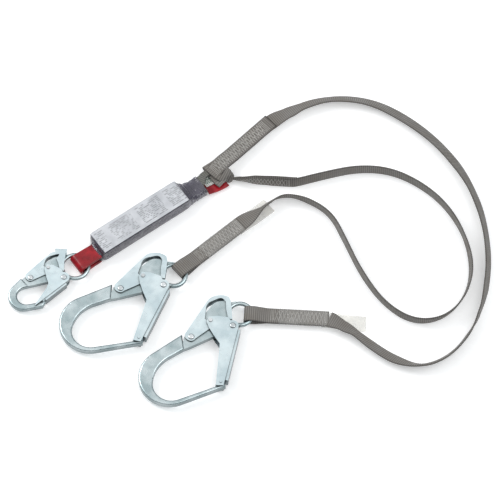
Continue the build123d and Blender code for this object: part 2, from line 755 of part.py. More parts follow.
BLOCK_A = (-44.7, 140.0, 45.1, 108.5)  # start on the ground, direction, length
BLOCK_A_RISE = (16.5, LEG_MIDDLE)  # its middle's height at the start and at the end
BLOCK_B = (-27.0, 117.6, -3.8, 99.3)
SEAM_START = 12.0  # from a block's start to its first stitch
SEAM_LENGTH = 82.0
HOOK_SEAM_START = 48.0  # from the middle of the hook's eye


def make_block_a():
    """Leg A's pack-end block, lying flat and coming down from the junction."""
    x, y, angle, length = BLOCK_A
    start, stop = BLOCK_A_RISE
    half = BLOCK_THICK / 2
    with BuildPart() as block:
        with BuildSketch(side_plane(*ground(x, y), 0, angle)):
            with BuildLine():
                Polyline((0, start + half), (length, stop + half), (length, stop - half), (0, start - half),
                         close=True)
            make_face()
        extrude(amount=WEB_WIDTH / 2, both=True)
    return block.part


def block_a_faces():
    """Planes on the block's two flat faces, along its length."""
    x, y, angle, length = BLOCK_A
    start, stop = BLOCK_A_RISE
    along = Vector(*polar(angle), (stop - start) / length).normalized()
    across = Vector(*polar(angle + 90), 0)
    up = along.cross(across)
    middle = Vector(*ground(x, y), start) + along * SEAM_START
    half = BLOCK_THICK / 2
    return [Plane(origin=middle + up * half, x_dir=along, z_dir=up),
            Plane(origin=middle - up * half, x_dir=along, z_dir=-up)]


def make_block_b():
    """Leg B's pack-end block, standing on edge."""
    x, y, angle, length = BLOCK_B
    with BuildPart() as block:
        with BuildSketch(Plane(origin=(*ground(x, y), 0), x_dir=(*polar(angle), 0), z_dir=(0, 0, 1))):
            with Locations((length / 2, 0)):
                Rectangle(length, BLOCK_THICK)
        extrude(amount=WEB_WIDTH)
    return block.part


def block_b_faces():
    """Planes on the block's two upright faces, along its length."""
    x, y, angle, _ = BLOCK_B
    faces = []
    for side in (1, -1):
        out = polar(angle + 90 * side)
        spot = shifted(shifted(ground(x, y), polar(angle, SEAM_START)), out, BLOCK_THICK / 2)
        faces.append(Plane(origin=(*spot, LEG_MIDDLE), x_dir=(*polar(angle), 0), z_dir=(*out, 0)))
    return faces


def hook_block_faces(hook, angle):
    """Planes on the two flat faces of a leg's hook-end block."""
    x, y, z = eye_centre(hook)
    spot = shifted((x, y), polar(angle, HOOK_SEAM_START))
    half = BLOCK_THICK / 2
    along = (*polar(angle), 0)
    return [Plane(origin=(*spot, z + half), x_dir=along, z_dir=(0, 0, 1)),
            Plane(origin=(*spot, z - half), x_dir=along, z_dir=(0, 0, -1))]


# ---------------------------------------------------------------- all pieces

HOOK_LOOP_ANGLES = {"leg_a": -3.4, "leg_b": 40.7}
LEG_ROUTES = {"leg_a": LEG_A_ROUTE, "leg_b": LEG_B_ROUTE}


def hook_pieces(hook):
    """Every piece of one hook, by node name."""
    base = hook_plane(hook)
    wire = 0.9 if hook.core > 4 else 0.8
    turns = 1.9 if hook.core > 4 else 1.4
    gate_coil = hook.rivet_radius + 2
    return {
        f"{hook.name}_hook_body": make_hook_body(hook, base),
        f"{hook.name}_hook_gate": make_gate(hook, base),
        f"{hook.name}_hook_lock_lever": make_lever(hook, base),
        f"{hook.name}_hook_gate_rivet": make_rivet(hook, base, (0, 0), hook.gate_out + FIT, hook.head),
        f"{hook.name}_hook_lever_rivet": make_rivet(hook, base, hook.lever_pivot, hook.lever_out + FIT,
                                                    hook.lever_out + LEVER_HEAD),
        f"{hook.name}_hook_lock_studs": make_studs(hook, base),
        f"{hook.name}_hook_gate_spring": make_coil(base, (0, 0), hook.core, gate_coil, wire, turns),
        f"{hook.name}_hook_lever_spring": make_coil(base, hook.lever_pivot, hook.core - RECESS,
                                                    hook.rivet_radius + 1.5, 0.8, 0.9),
    }


def all_pieces():
    """Every piece of the lanyard, by node name."""
    pieces = {}
    for hook in HOOKS:
        pieces |= hook_pieces(hook)
        if hook.name in LEG_ROUTES:
            angle = HOOK_LOOP_ANGLES[hook.name]
            pieces[f"{hook.name}_webbing"] = make_leg(hook.name, LEG_ROUTES[hook.name])
            pieces[f"{hook.name}_hook_loop"] = make_hook_loop(hook, angle)
            pieces[f"{hook.name}_hook_stitching"] = make_stitching(hook_block_faces(hook, angle))
            pieces[f"{hook.name}_clear_sleeve"] = make_clear_sleeve(hook, angle)
    snap = HOOKS[-1]
    pieces |= {
        "pack_cover": make_cover(),
        "pack_tear_webbing": make_tear_webbing(),
        "pack_label": make_label(),
        "snap_end_loop": make_snap_loop(snap),
        "red_sleeve": make_red_sleeve(snap),
        "leg_end_loop": make_leg_end_loop(),
        "wear_pad": make_loop_pad(LOOP_LOW + WEB_THICK, 1.2, 128, LOOP_WIDTH),
        "loop_lining": make_loop_pad(LOOP_LOW + WEB_THICK + 1.2, 1.0, 129, LOOP_WIDTH - 6),
        "junction_wrap": make_junction_wrap(),
        "leg_a_pack_block": make_block_a(),
        "leg_b_pack_block": make_block_b(),
        "leg_a_pack_stitching": make_stitching(block_a_faces()),
        "leg_b_pack_stitching": make_stitching(block_b_faces()),
    }
    return pieces


os.makedirs("parts", exist_ok=True)
for node, piece in all_pieces().items():
    piece.label = node
    export_step(piece, f"parts/{node}.step")
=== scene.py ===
"""Looks of the twin-leg shock absorbing lanyard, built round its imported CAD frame. Metres, +Z up."""

import json
import math

import bmesh
import bpy
import numpy as np
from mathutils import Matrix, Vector, noise


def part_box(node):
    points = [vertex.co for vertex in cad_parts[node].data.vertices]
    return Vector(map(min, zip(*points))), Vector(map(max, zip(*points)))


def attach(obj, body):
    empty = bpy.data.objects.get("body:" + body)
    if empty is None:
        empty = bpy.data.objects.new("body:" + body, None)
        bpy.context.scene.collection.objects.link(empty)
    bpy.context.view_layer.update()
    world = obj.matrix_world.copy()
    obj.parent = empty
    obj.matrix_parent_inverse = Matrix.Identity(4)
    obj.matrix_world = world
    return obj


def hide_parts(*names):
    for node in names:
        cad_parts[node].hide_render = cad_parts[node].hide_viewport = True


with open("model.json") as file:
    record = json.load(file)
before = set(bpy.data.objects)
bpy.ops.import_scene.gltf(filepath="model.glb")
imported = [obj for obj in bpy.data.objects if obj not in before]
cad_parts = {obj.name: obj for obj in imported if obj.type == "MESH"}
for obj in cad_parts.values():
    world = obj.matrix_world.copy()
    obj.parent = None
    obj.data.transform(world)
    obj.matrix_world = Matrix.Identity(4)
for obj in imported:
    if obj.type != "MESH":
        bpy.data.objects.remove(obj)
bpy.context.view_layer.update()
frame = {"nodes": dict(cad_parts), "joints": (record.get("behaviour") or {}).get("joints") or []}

MM = 0.001
UP = np.array([0.0, 0.0, 1.0])
BODY = "lanyard"
WEB_WIDTH = 25 * MM
WEB_THICK = 2.2 * MM
RIB_PITCH = 3.2 * MM
RIB_STEP = RIB_PITCH / 6
RIB_DEPTH = 0.16 * MM

JOINTS = {joint["name"]: joint for joint in frame["joints"]}


def polar(degrees):
    """The level unit vector in a direction."""
    return np.array([math.cos(math.radians(degrees)), math.sin(math.radians(degrees)), 0.0])


def unit(vectors):
    """Vectors of length one."""
    return vectors / np.linalg.norm(vectors, axis=-1, keepdims=True)


# ---------------------------------------------------------------- camera, surroundings and light

VIEW_ELEVATION = 63.0
VIEW_DISTANCE = 20.0
VIEW_WIDTH = 0.77  # what the picture is wide, on the ground
LAYOUT_ZERO = Vector((96.33 * MM, 24.24 * MM, 0.0))  # the layout's own zero, and the middle of the view


def make_camera():
    """A far camera with a long lens, looking down on the layout."""
    data = bpy.data.cameras.new("camera")
    data.sensor_width = 36.0
    data.lens = data.sensor_width * VIEW_DISTANCE / VIEW_WIDTH
    data.clip_end = 100.0
    camera = bpy.data.objects.new("camera", data)
    rise = math.radians(VIEW_ELEVATION)
    back = Vector((0.0, -math.cos(rise), math.sin(rise)))
    camera.location = LAYOUT_ZERO + back * VIEW_DISTANCE
    camera.rotation_euler = (math.pi / 2 - rise, 0.0, 0.0)
    bpy.context.scene.collection.objects.link(camera)
    bpy.context.scene.camera = camera


def make_light(name, place, size, power):
    """A soft rectangular light that faces the layout."""
    data = bpy.data.lights.new(name, "AREA")
    data.shape = "RECTANGLE"
    data.size, data.size_y = size
    data.energy = power
    light = bpy.data.objects.new(name, data)
    light.location = place
    light.rotation_euler = (LAYOUT_ZERO - Vector(place)).to_track_quat("-Z", "Y").to_euler()
    bpy.context.scene.collection.objects.link(light)


def make_world():
    """Pale surroundings, dark towards the horizon so that round edges show."""
    world = bpy.data.worlds.new("studio")
    world.use_nodes = True
    nodes, links = world.node_tree.nodes, world.node_tree.links
    background = nodes["Background"]
    background.inputs["Strength"].default_value = 1.0
    place = nodes.new("ShaderNodeTexCoord")
    split = nodes.new("ShaderNodeSeparateXYZ")
    ramp = nodes.new("ShaderNodeValToRGB")
    low, high = ramp.color_ramp.elements
    low.position, low.color = 0.25, (0.07, 0.09, 0.10, 1.0)
    high.position, high.color = 0.93, (0.97, 0.98, 0.98, 1.0)
    middle = ramp.color_ramp.elements.new(0.62)
    middle.color = (0.42, 0.46, 0.48, 1.0)
    links.new(place.outputs["Generated"], split.inputs[0])
    links.new(split.outputs["Z"], ramp.inputs[0])
    links.new(ramp.outputs[0], background.inputs["Color"])
    bpy.context.scene.world = world


def make_stage():
    """Camera, surroundings and lights."""
    make_camera()
    make_world()
    make_light("key", (-1.9, 1.0, 2.0), (1.6, 1.6), 46.0)
    make_light("fill", (1.9, -0.5, 2.4), (2.4, 2.4), 34.0)
    bpy.context.scene.view_settings.view_transform = "Standard"


# ---------------------------------------------------------------- materials


class Finish:
    """A material made of nodes round one Principled shader."""

    def __init__(self, name):
        self.material = bpy.data.materials.new(name)
        self.material.use_nodes = True
        self.tree = self.material.node_tree
        self.shader = self.tree.nodes["Principled BSDF"]

    def add(self, kind, inputs=(), **settings):
        """A node, its settings, and its inputs as numbers or as links."""
        node = self.tree.nodes.new(kind)
        for key, value in settings.items():
            setattr(node, key, value)
        self.feed(node, dict(inputs))
        return node

    def feed(self, node, inputs):
        """Sets or links a node's inputs."""
        for key, value in inputs.items():
            if isinstance(value, bpy.types.NodeSocket):
                self.tree.links.new(value, node.inputs[key])
            else:
                node.inputs[key].default_value = value

    def math(self, operation, first, second=0.0):
        """One sum."""
        return self.add("ShaderNodeMath", {0: first, 1: second}, operation=operation).outputs[0]

    def noise(self, scale, detail=3.0, vector=None, roughness=0.5):
        """Noise in the object's own space, or along a vector."""
        if vector is None:
            vector = self.add("ShaderNodeTexCoord").outputs["Object"]
        inputs = {"Vector": vector, "Scale": scale, "Detail": detail, "Roughness": roughness}
        return self.add("ShaderNodeTexNoise", inputs).outputs["Fac"]

    def ramp(self, factor, stops):
        """Colours along a factor, as (position, colour)."""
        node = self.add("ShaderNodeValToRGB", {0: factor})
        elements = node.color_ramp.elements
        while len(elements) < len(stops):
            elements.new(0.5)
        for element, (position, colour) in zip(elements, stops):
            element.position = position
            element.color = (*colour, 1.0)
        return node.outputs[0]

    def grey(self, factor, low, high, start=0.0, stop=1.0):
        """A number between low and high, as the factor goes from start to stop."""
        inputs = {"Value": factor, "From Min": start, "From Max": stop, "To Min": low, "To Max": high}
        return self.add("ShaderNodeMapRange", inputs).outputs[0]

    def multiply(self, colour, other):
        """Two colours multiplied."""
        node = self.add("ShaderNodeMix", data_type="RGBA", blend_type="MULTIPLY")
        self.feed(node, {0: 1.0, 6: colour, 7: other})
        return node.outputs[2]

    def blend(self, factor, colour, other):
        """Two colours mixed."""
        node = self.add("ShaderNodeMix", data_type="RGBA", blend_type="MIX")
        self.feed(node, {0: factor, 6: colour, 7: other})
        return node.outputs[2]

    def bump(self, height, distance, strength=1.0):
        """A bump from a height, in metres at height one."""
        inputs = {"Height": height, "Distance": distance, "Strength": strength}
        return self.add("ShaderNodeBump", inputs).outputs[0]

    def cloth(self):
        """Along and across a strap, in millimetres, as its mesh carries them."""
        place = self.add("ShaderNodeAttribute", attribute_name="cloth").outputs["Vector"]
        scaled = self.add("ShaderNodeVectorMath", {0: place, "Scale": 1 / MM}, operation="SCALE").outputs[0]
        split = self.add("ShaderNodeSeparateXYZ", {0: scaled})
        return scaled, split.outputs[0], split.outputs[1]


def webbing_finish(name, colour, edge_from=10.9):
    """Plain woven webbing: ribs across, warp yarns along, painted shade in their valleys, a little fuzz,
    darker selvedges.
    """
    finish = Finish(name)
    place, along, across = finish.cloth()
    rib = finish.math("SINE", finish.math("MULTIPLY", along, 2 * math.pi * MM / RIB_PITCH))
    yarn = finish.math("SINE", finish.math("MULTIPLY", across, 2 * math.pi / 1.1))
    weave = finish.math("MULTIPLY", rib, yarn)
    fuzz = finish.noise(2.2, 4.0, place, 0.7)
    patch = finish.noise(38.0, 2.0)
    # Painted shade: the colour is darker in the valleys between ribs and yarns, lighter on their crests.
    rib_shading = finish.math("ADD", finish.math("MULTIPLY", weave, 0.3), finish.math("MULTIPLY", rib, 0.7))
    tone = finish.grey(rib_shading, 0.56, 1.22, -0.9, 0.9)
    tone = finish.math("ADD", tone, finish.grey(fuzz, -0.22, 0.22, 0.3, 0.7))
    tone = finish.math("MULTIPLY", tone, finish.grey(patch, 0.90, 1.08, 0.3, 0.7))
    selvedge = finish.grey(finish.math("ABSOLUTE", across), 1.0, 0.62, edge_from, edge_from + 1.0)
    tone = finish.math("MULTIPLY", tone, selvedge)
    warm = finish.ramp(patch, [(0.35, colour), (0.65, [c * w for c, w in zip(colour, (0.97, 1.0, 1.04))])])
    shade = finish.add("ShaderNodeCombineColor", {0: tone, 1: tone, 2: tone}).outputs[0]
    height = finish.math("ADD", finish.math("MULTIPLY", weave, 0.5), fuzz)
    finish.feed(finish.shader, {
        "Base Color": finish.multiply(warm, shade),
        "Roughness": finish.grey(fuzz, 0.68, 0.9),
        "Specular IOR Level": 0.2,
        "Sheen Weight": 0.08,
        "Sheen Roughness": 0.5,
        "Normal": finish.bump(height, 0.3 * MM, 0.9),
    })
    return finish.material


def thread_finish(name, colour):
    """Twisted polyester thread."""
    finish = Finish(name)
    fine = finish.noise(2600.0, 2.0)
    patch = finish.noise(90.0, 2.0)
    tone = finish.grey(fine, 0.75, 1.12, 0.3, 0.7)
    tone = finish.math("MULTIPLY", tone, finish.grey(patch, 0.85, 1.1, 0.3, 0.7))
    shade = finish.add("ShaderNodeCombineColor", {0: tone, 1: tone, 2: tone}).outputs[0]
    base = finish.add("ShaderNodeRGB").outputs[0]
    base.default_value = (*colour, 1.0)
    finish.feed(finish.shader, {
        "Base Color": finish.multiply(base, shade),
        "Roughness": finish.grey(fine, 0.45, 0.7),
        "Sheen Weight": 0.2,
        "Normal": finish.bump(fine, 0.15 * MM),
    })
    return finish.material


def zinc_finish(name, dark, bright, roughness, grain=1.0, edge=0.3):
    """Bright zinc plating on steel: cold blue patches and small dents, with painted shade: darker in creases
    and gaps between parts, and on upright side walls.
    """
    finish = Finish(name)
    patch = finish.noise(34.0, 3.0)
    cloud = finish.noise(130.0, 4.0, roughness=0.6)
    speck = finish.noise(1400.0, 2.0)
    colour = finish.ramp(patch, [(0.38, dark), (0.62, bright)])
    # Painted shade: ambient occlusion darkens the colour in creases and in the gaps between parts.
    crease = finish.add("ShaderNodeAmbientOcclusion", {"Distance": 5 * MM}, samples=8).outputs["AO"]
    # Painted shade: faces are darkened the more upright they stand, down to edge times their colour on side
    # walls.
    facing = finish.add("ShaderNodeNewGeometry").outputs["Normal"]
    upright = finish.add("ShaderNodeSeparateXYZ", {0: facing}).outputs["Z"]
    painted_wall_shade = finish.grey(finish.math("ABSOLUTE", upright), edge, 1.0, 0.15, 0.85)
    painted_shade = finish.math("MULTIPLY", finish.grey(crease, 0.12, 1.0, 0.35, 0.9), painted_wall_shade)
    shade = finish.add("ShaderNodeCombineColor", {0: painted_shade, 1: painted_shade, 2: painted_shade}).outputs[0]
    colour = finish.multiply(colour, shade)
    rough = finish.math("ADD", finish.grey(cloud, roughness - 0.07, roughness + 0.1, 0.3, 0.7),
                        finish.grey(speck, -0.03, 0.04, 0.3, 0.7))
    height = finish.math("ADD", finish.math("MULTIPLY", cloud, 0.8), finish.math("MULTIPLY", speck, 0.2))
    finish.feed(finish.shader, {
        "Base Color": colour,
        "Metallic": 1.0,
        "Roughness": rough,
        "Normal": finish.bump(height, 0.07 * MM * grain, 0.6),
    })
    return finish.material


def film_finish(name, colour, alpha, roughness, wrinkle=1.0):
    """Thin clear vinyl with soft wrinkles."""
    finish = Finish(name)
    broad = finish.noise(48.0, 3.0, roughness=0.5)
    fine = finish.noise(420.0, 2.0)
    tint = finish.ramp(broad, [(0.35, [c * 0.8 for c in colour]), (0.65, colour)])
    haze = finish.grey(broad, alpha * 0.85, min(1.0, alpha * 1.2), 0.35, 0.65)
    height = finish.math("ADD", broad, finish.math("MULTIPLY", fine, 0.03))
    finish.feed(finish.shader, {
        "Base Color": tint,
        "Roughness": finish.grey(fine, roughness, roughness + 0.1, 0.3, 0.7),
        "IOR": 1.5,
        "Alpha": haze,
        "Coat Weight": 0.8,
        "Coat Roughness": 0.05,
        "Normal": finish.bump(height, 3.2 * MM * wrinkle, 0.8),
    })
    return finish.material


def vinyl_finish(name, dark, bright):
    """Glossy coloured vinyl, scuffed a little."""
    finish = Finish(name)
    broad = finish.noise(60.0, 3.0)
    fine = finish.noise(900.0, 3.0)
    finish.feed(finish.shader, {
        "Base Color": finish.ramp(broad, [(0.35, dark), (0.65, bright)]),
        "Roughness": finish.grey(fine, 0.22, 0.4, 0.3, 0.7),
        "Specular IOR Level": 0.25,
        "Coat Weight": 0.35,
        "Coat Roughness": 0.08,
        "Normal": finish.bump(finish.math("ADD", broad, finish.math("MULTIPLY", fine, 0.05)), 1.2 * MM, 0.6),
    })
    return finish.material


# The label's print, in millimetres: rows of bars, in columns with a gap between them.
ROW_PITCH = 2.9
COLUMN_PITCH = 52.0
PRINT_REACH = 15.6  # of the rows, either way from the middle of the label


def label_finish():
    """Silvery printed film: rows of plain grey bars of uneven length, in columns."""
    finish = Finish("label_print")
    _, along, across = finish.cloth()
    row = finish.math("DIVIDE", across, ROW_PITCH)
    in_row = finish.math("FRACT", finish.math("ADD", row, 100.5))
    line = finish.math("LESS_THAN", finish.math("ABSOLUTE", finish.math("SUBTRACT", in_row, 0.5)), 0.19)
    level = finish.math("FLOOR", finish.math("ADD", row, 100.5))
    spot = finish.add("ShaderNodeCombineXYZ", {0: finish.math("MULTIPLY", along, 0.11), 1: level}).outputs[0]
    words = finish.math("GREATER_THAN", finish.noise(1.9, 1.0, spot), 0.49)
    column = finish.math("FRACT", finish.math("DIVIDE", finish.math("ADD", along, 6.0), COLUMN_PITCH))
    panel = finish.math("GREATER_THAN", column, 0.12)
    panel = finish.math("MULTIPLY", panel, finish.math("LESS_THAN", column, 0.93))
    rows = finish.math("LESS_THAN", finish.math("ABSOLUTE", across), PRINT_REACH)
    mark = finish.math("MULTIPLY", finish.math("MULTIPLY", line, words), finish.math("MULTIPLY", panel, rows))
    broad = finish.noise(45.0, 3.0)
    fine = finish.noise(1500.0, 2.0)
    paper = finish.ramp(broad, [(0.35, (0.48, 0.49, 0.52)), (0.65, (0.64, 0.65, 0.68))])
    ink = finish.math("MULTIPLY", mark, 0.85)
    finish.feed(finish.shader, {
        "Base Color": finish.blend(ink, paper, (0.13, 0.135, 0.15, 1.0)),
        "Roughness": finish.grey(fine, 0.34, 0.5, 0.3, 0.7),
        "Metallic": 0.25,
        "Coat Weight": 0.4,
        "Coat Roughness": 0.15,
        "Normal": finish.bump(finish.math("ADD", broad, finish.math("MULTIPLY", fine, 0.04)), 1.0 * MM, 0.5),
    })
    return finish.material


def floor_finish():
    """Pale matt paper, lit a little from below as on a light table."""
    finish = Finish("floor_paper")
    fine = finish.noise(60.0, 3.0)
    finish.feed(finish.shader, {
        "Base Color": finish.ramp(fine, [(0.3, (0.86, 0.86, 0.865)), (0.7, (0.88, 0.88, 0.885))]),
        "Roughness": 0.95,
        "Specular IOR Level": 0.1,
        "Emission Color": (1.0, 1.0, 1.0, 1.0),
        "Emission Strength": 0.3,
    })
    return finish.material


FINISHES = {
    "zinc_forging": zinc_finish("zinc_forging", (0.40, 0.49, 0.51), (0.64, 0.72, 0.74), 0.27, 1.0, 0.5),
    "zinc_plate": zinc_finish("zinc_plate", (0.60, 0.71, 0.75), (0.76, 0.86, 0.89), 0.3, 0.7),
    "rivet_steel": zinc_finish("rivet_steel", (0.62, 0.66, 0.68), (0.82, 0.85, 0.87), 0.2, 0.5),
    "spring_steel": zinc_finish("spring_steel", (0.30, 0.31, 0.33), (0.42, 0.43, 0.45), 0.35, 0.5),
    "grey_webbing": webbing_finish("grey_webbing", (0.225, 0.206, 0.187)),
    # Painted shadow: near-black webbing for the strips laid over the plies' cut ends.
    "painted_end_shadow": webbing_finish("painted_end_shadow", (0.06, 0.054, 0.048)),
    "loop_webbing": webbing_finish("loop_webbing", (0.18, 0.175, 0.155), 11.4),
    "tear_webbing": webbing_finish("tear_webbing", (0.085, 0.08, 0.105), 18.0),
    "thread": thread_finish("thread", (0.50, 0.48, 0.45)),
    "green_thread": thread_finish("green_thread", (0.03, 0.16, 0.09)),
    "clear_cover": film_finish("clear_cover", (0.12, 0.112, 0.15), 0.5, 0.08),
    "clear_sleeve": film_finish("clear_sleeve", (0.86, 0.84, 0.79), 0.42, 0.22, 0.5),
    "clear_tube": film_finish("clear_tube", (0.88, 0.87, 0.84), 0.07, 0.15, 0.4),
    "label": label_finish(),
    "red_vinyl": vinyl_finish("red_vinyl", (0.16, 0.004, 0.008), (0.36, 0.008, 0.016)),
    "lining": webbing_finish("lining", (0.66, 0.65, 0.61), 12.0),
}

# ---------------------------------------------------------------- meshes


def add_mesh(name, vertices, faces, finish, coords=None, flat_faces=()):
    """A smooth mesh that rides on the lanyard, with its strap coordinates if it has them."""
    mesh = bpy.data.meshes.new(name)
    mesh.from_pydata(np.asarray(vertices).tolist(), [], faces)
    mesh.polygons.foreach_set("use_smooth", [True] * len(mesh.polygons))
    for face in flat_faces:
        mesh.polygons[face].use_smooth = False
    if coords is not None:
        attribute = mesh.attributes.new("cloth", "FLOAT_VECTOR", "POINT")
        attribute.data.foreach_set("vector", np.asarray(coords, np.float32).ravel())
    shape = bmesh.new()
    shape.from_mesh(mesh)
    bmesh.ops.recalc_face_normals(shape, faces=shape.faces)
    shape.to_mesh(mesh)
    shape.free()
    mesh.materials.append(FINISHES[finish])
    piece = bpy.data.objects.new(name, mesh)
    bpy.context.scene.collection.objects.link(piece)
    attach(piece, BODY)
    return piece


def grid_faces(rows, columns, first=0):
    """The faces between closed rings of points."""
    faces = []
    for row in range(rows - 1):
        for column in range(columns):
            here, there = first + row * columns, first + (row + 1) * columns
            after = (column + 1) % columns
            faces.append((here + column, here + after, there + after, there + column))
    return faces


def loft(name, rings, finish, inner=None, coords=None):
    """A closed skin over rings of points; with inner rings it is a tube, open at both ends."""
    rows, columns, _ = rings.shape
    faces = grid_faces(rows, columns)
    vertices = rings.reshape(-1, 3)
    last = (rows - 1) * columns
    if inner is None:
        caps = [len(faces), len(faces) + 1]
        faces += [tuple(range(columns)), tuple(range(last, last + columns))]
        return add_mesh(name, vertices, faces, finish, coords, caps)
    second = len(vertices)
    faces += grid_faces(rows, columns, second)
    caps = []
    for start in (0, last):
        for column in range(columns):
            after = (column + 1) % columns
            caps.append(len(faces))
            faces.append((start + column, start + after, second + start + after, second + start + column))
    vertices = np.concatenate([vertices, inner.reshape(-1, 3)])
    if coords is not None:
        coords = np.concatenate([coords, coords])
    return add_mesh(name, vertices, faces, finish, coords, caps)


def lengths_along(points):
    """The distance of each point from the first, along the line."""
    steps = np.linalg.norm(np.diff(points, axis=0), axis=1)
    return np.concatenate([[0.0], np.cumsum(steps)])


def resampled(points, step):
    """A line's points, evenly spaced."""
    points = np.asarray(points, float)
    along = lengths_along(points)
    even = np.linspace(0.0, along[-1], max(2, round(along[-1] / step) + 1))
    return np.stack([np.interp(even, along, points[:, axis]) for axis in range(3)], axis=1)


def softened(points, step, reach):
    """A line through given points with its corners rounded over a reach."""
    line = resampled(points, step)
    window = max(1, int(reach / step / 2))
    padded = np.concatenate([2 * line[0] - line[window:0:-1], line, 2 * line[-1] - line[-2:-window - 2:-1]])
    kernel = np.hanning(2 * window + 3)[1:-1]
    kernel /= kernel.sum()
    return np.stack([np.convolve(padded[:, axis], kernel, mode="valid") for axis in range(3)], axis=1)


def eased(stops, at):
    """Values along a line that change smoothly between (place, value) stops."""
    places, values = np.array(stops, float).T
    index = np.clip(np.searchsorted(places, at) - 1, 0, len(places) - 2)
    share = np.clip((at - places[index]) / (places[index + 1] - places[index]), 0.0, 1.0)
    share = share * share * (3 - 2 * share)
    return values[index] + (values[index + 1] - values[index]) * share


class Strip:
    """A flat strap: its middle line, the direction of its width at each point, and its section."""

    def __init__(self, line, across, width=WEB_WIDTH, thick=WEB_THICK, gather=1.0):
        self.line = np.asarray(line, float)
        self.tangent = unit(np.gradient(self.line, axis=0))
        across = np.broadcast_to(np.asarray(across, float), self.line.shape)
        side = (across * self.tangent).sum(axis=1, keepdims=True)
        self.across = unit(across - side * self.tangent)
        self.normal = np.cross(self.tangent, self.across)
        self.along = lengths_along(self.line)
        self.width = width
        self.thick = thick
        self.gather = np.broadcast_to(gather, len(self.line))  # share of the width left where it is bunched

    def spot(self, along, across, lift=0.0):
        """A point over the strap's face, and the face's normal there."""
        def at(values):
            return np.array([np.interp(along, self.along, values[:, axis]) for axis in range(3)])
        normal = unit(at(self.normal))
        return at(self.line) + at(self.across) * across + normal * lift, normal

    def beside(self, lift):
        """The line of another ply on this one."""
        return self.line + self.normal * lift

    def section(self):
        """Places across the strap, and half its thickness there, with rounded edges."""
        radius = self.thick * 0.45
        middle = np.linspace(-self.width / 2 + radius, self.width / 2 - radius, 9)
        rim = self.width / 2 - radius * np.array([0.0, 0.15, 0.5])
        places = np.concatenate([-rim, middle, rim[::-1]])
        depth = np.clip((self.width / 2 - np.abs(places)) / radius, 0.0, 1.0)
        return places, self.thick / 2 * np.sqrt(1 - (1 - depth) ** 2)

    def mesh(self, name, finish, slot, rib_depth=RIB_DEPTH):
        """The strap's closed mesh, with ribs standing out alternately on its two faces."""
        places, halves = self.section()
        count = len(places)
        flat = (np.arange(count) > 2) & (np.arange(count) < count - 3)
        phase = 2 * np.pi * self.along[:, None] / RIB_PITCH + np.pi * np.arange(count)[None, :]
        ribs = rib_depth * np.sin(phase) * flat
        spread = places[None, :, None] * self.gather[:, None, None]
        middle = self.line[:, None, :] + self.across[:, None, :] * spread
        rise = self.normal[:, None, :]
        top = middle + rise * (halves + ribs)[:, :, None]
        bottom = middle - rise * (halves - ribs)[:, :, None]
        rings = np.concatenate([top, bottom[:, -2:0:-1]], axis=1)
        ring_places = np.concatenate([places, places[-2:0:-1]])
        coords = np.zeros(rings.shape)
        coords[:, :, 0] = self.along[:, None]
        coords[:, :, 1] = ring_places[None, :]
        return loft(name, rings, finish, coords=coords.reshape(-1, 3))


def paint_end_shadow(name, strip, slot="grey_webbing"):
    """A dark strip painted over the end of a ply, a hair thicker than the webbing: painted shadow at its cut
    end.
    """
    count = int(1.4 * MM / RIB_STEP) + 2
    line, across = strip.line[-count:] + strip.tangent[-count:] * 0.2 * MM, strip.across[-count:]
    Strip(line, across, WEB_WIDTH + 0.3 * MM, WEB_THICK + 0.5 * MM).mesh(name, "painted_end_shadow", slot, 0.0)


def rounded_section(width, height, corner, count=12):
    """A rectangle with round corners, as points round it."""
    corner = min(corner, width / 2 * 0.98, height / 2 * 0.98)
    points = []
    for turn, (x, y) in enumerate([(1, 1), (-1, 1), (-1, -1), (1, -1)]):
        for part in range(count):
            angle = math.pi / 2 * (turn + part / (count - 1))
            points.append((x * (width / 2 - corner) + corner * math.cos(angle),
                           y * (height / 2 - corner) + corner * math.sin(angle)))
    return np.array(points)


# ---------------------------------------------------------------- thread

STITCH_LENGTH = 2.6 * MM
THREAD_RADIUS = 0.44 * MM
SEAM_HEIGHT = WEB_THICK + 0.1 * MM  # of the thread, from between two plies that are sewn together
END_BARS = 3


def stitch_points(strip, start, stop, side, cover):
    """One stitch from hole to hole on a face of a strap: points of its middle line."""
    lifts = [(0.0, -0.5), (0.14, 0.35), (0.5, 0.6), (0.86, 0.35), (1.0, -0.5)]
    points = []
    for share, lift in lifts:
        along = start[0] + (stop[0] - start[0]) * share
        across = start[1] + (stop[1] - start[1]) * share
        points.append(strip.spot(along, across, side * (cover + lift * THREAD_RADIUS))[0])
    return np.array(points)


def sew(name, seams, finish="thread"):
    """Thread along seams: each is a strap, a side, the height of its face, and (along, across) corners."""
    sides = 6
    vertices, faces = [], []
    for strip, side, cover, corners in seams:
        for first, second in zip(corners, corners[1:]):
            first, second = np.array(first), np.array(second)
            count = max(1, round(np.linalg.norm(second - first) / STITCH_LENGTH))
            for part in range(count):
                start = first + (second - first) * (part + 0.04) / count
                stop = first + (second - first) * (part + 0.96) / count
                points = stitch_points(strip, start, stop, side, cover)
                tangent = unit(np.gradient(points, axis=0))
                wide = unit(np.cross(tangent, strip.spot(start[0], start[1])[1]))
                high = np.cross(wide, tangent)
                base = len(vertices)
                for row, point in enumerate(points):
                    radius = THREAD_RADIUS * (0.55 if row in (0, 4) else 1.0)
                    for turn in range(sides):
                        angle = 2 * math.pi * turn / sides
                        out = wide[row] * math.cos(angle) + high[row] * math.sin(angle)
                        vertices.append(point + radius * out)
                faces += grid_faces(len(points), sides, base)
                end = base + (len(points) - 1) * sides
                faces += [tuple(range(base, base + sides)), tuple(range(end, end + sides))]
    return add_mesh(name, vertices, faces, finish)


def zigzag(start, stop, reach, step, phase=1):
    """Corners of a zigzag along a strap, between two places across it."""
    count = max(2, round((stop - start) / step))
    return [(start + (stop - start) * i / count, phase * reach * (-1) ** i) for i in range(count + 1)]


